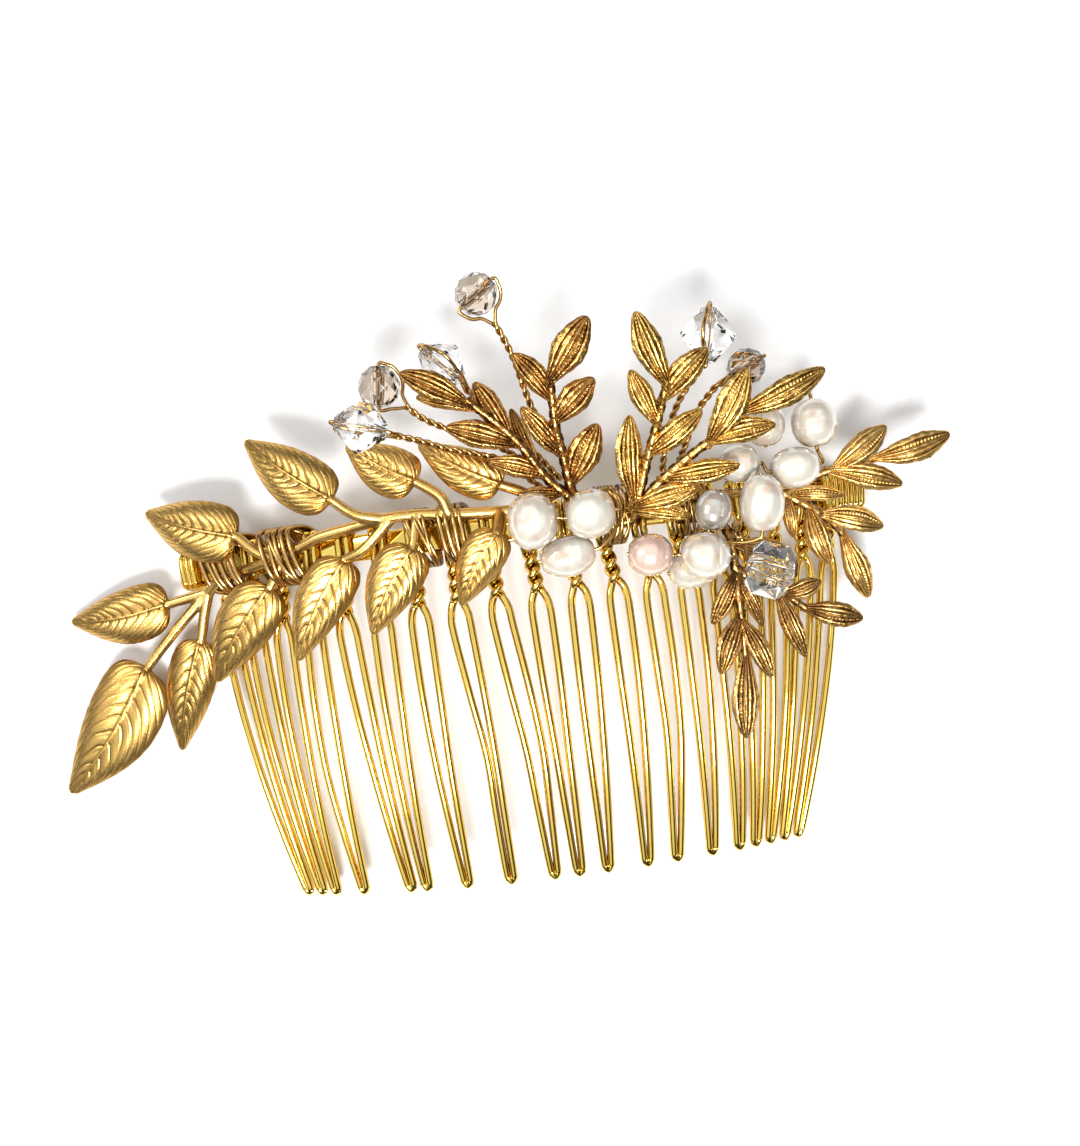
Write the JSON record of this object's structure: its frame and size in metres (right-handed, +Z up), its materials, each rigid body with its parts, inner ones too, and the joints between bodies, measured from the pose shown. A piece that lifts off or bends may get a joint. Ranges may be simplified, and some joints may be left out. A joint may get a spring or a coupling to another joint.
{
  "type": "decorative hair comb",
  "caption": "Arched wire hair comb with looped teeth and a wired-on garland of metal leaves, oval pearls and faceted crystals on twisted stems.",
  "frame": {"origin": "middle of the footprint, on the surface that the comb lies on with its arch upwards", "axes": "+X along the comb's bar towards the pearl end, +Y from the teeth towards the crystals, +Z up out of the comb's face"},
  "size_m": [0.1076, 0.0674, 0.0255],
  "materials": {
    "comb_gold": "bright polished gold plate",
    "leaf_gold": "satin stamped gold-tone brass",
    "spray_gold": "antiqued stamped brass, dark in the recesses",
    "wire_brass": "drawn antique brass wire",
    "pearl_white": "lustrous white freshwater pearl",
    "pearl_pink": "lustrous pink freshwater pearl",
    "crystal_clear": "clear faceted crystal",
    "crystal_smoky": "smoky faceted crystal"
  },
  "bodies": {
    "comb": {"top_bar": "comb_gold", "tooth_01": "comb_gold", "tooth_02": "comb_gold", "tooth_03": "comb_gold", "tooth_04": "comb_gold", "tooth_05": "comb_gold", "tooth_06": "comb_gold", "tooth_07": "comb_gold", "tooth_08": "comb_gold", "tooth_09": "comb_gold", "tooth_10": "comb_gold", "tooth_11": "comb_gold", "tooth_12": "comb_gold", "tooth_13": "comb_gold", "tooth_14": "comb_gold", "tooth_15": "comb_gold", "tooth_16": "comb_gold", "tooth_17": "comb_gold", "tooth_18": "comb_gold", "tooth_19": "comb_gold", "leaf_branch": "leaf_gold", "spray_upper_left": "spray_gold", "spray_upper_middle": "spray_gold", "spray_right": "spray_gold", "spray_lower": "spray_gold", "pearl_left_a": "pearl_white", "pearl_left_b": "pearl_white", "pearl_left_c": "pearl_white", "pearl_middle_a": "pearl_pink", "pearl_middle_b": "pearl_white", "pearl_middle_c": "pearl_white", "pearl_right_a": "pearl_white", "pearl_right_b": "pearl_white", "pearl_right_c": "pearl_white", "pearl_right_d": "pearl_white", "pearl_right_e": "pearl_white", "pearl_right_f": "pearl_white", "pearl_tie_left": "wire_brass", "pearl_tie_middle": "wire_brass", "pearl_tie_right": "wire_brass", "pearl_tie_upper_right": "wire_brass", "stem_wire_bicone_left": "wire_brass", "stem_wire_round_left": "wire_brass", "stem_wire_bicone_middle": "wire_brass", "stem_wire_round_top": "wire_brass", "stem_wire_bicone_right": "wire_brass", "stem_wire_round_right": "wire_brass", "stem_wire_cube": "wire_brass", "binding_wire_outer": "wire_brass", "binding_wire_fork": "wire_brass", "binding_wire_inner": "wire_brass", "binding_wire_middle": "wire_brass", "binding_wire_right": "wire_brass"},
    "crystal_bicone_left": {"crystal_bicone_left": "crystal_clear"},
    "crystal_round_left": {"crystal_round_left": "crystal_smoky"},
    "crystal_bicone_middle": {"crystal_bicone_middle": "crystal_clear"},
    "crystal_round_top": {"crystal_round_top": "crystal_smoky"},
    "crystal_bicone_right": {"crystal_bicone_right": "crystal_clear"},
    "crystal_round_right": {"crystal_round_right": "crystal_smoky"},
    "crystal_cube": {"crystal_cube": "crystal_clear"}
  },
  "joints": [
    {"name": "crystal_bicone_left_spin", "type": "hinge", "parent": "comb", "child": "crystal_bicone_left", "pos_m": [-0.01105, 0.0189, 0.022], "axis": [0.9536, -0.3011, 0], "continuous": true},
    {"name": "crystal_round_left_spin", "type": "hinge", "parent": "comb", "child": "crystal_round_left", "pos_m": [-0.00895, 0.0233, 0.0191], "axis": [0.0995, 0.995, 0], "continuous": true},
    {"name": "crystal_bicone_middle_spin", "type": "hinge", "parent": "comb", "child": "crystal_bicone_middle", "pos_m": [-0.00205, 0.0249, 0.0187], "axis": [0.7071, -0.7071, 0], "continuous": true},
    {"name": "crystal_round_top_spin", "type": "hinge", "parent": "comb", "child": "crystal_round_top", "pos_m": [0.00265, 0.0314, 0.0215], "axis": [0.8, 0.6, 0], "continuous": true},
    {"name": "crystal_bicone_right_spin", "type": "hinge", "parent": "comb", "child": "crystal_bicone_right", "pos_m": [0.02675, 0.0245, 0.0191], "axis": [0.1961, 0.9806, 0], "continuous": true},
    {"name": "crystal_round_right_spin", "type": "hinge", "parent": "comb", "child": "crystal_round_right", "pos_m": [0.03045, 0.0207, 0.0185], "axis": [0.9138, 0.4061, 0], "continuous": true},
    {"name": "crystal_cube_spin", "type": "hinge", "parent": "comb", "child": "crystal_cube", "pos_m": [0.03045, -0.0013, 0.0181], "axis": [0.9243, -0.3818, 0], "continuous": true}
  ]
}
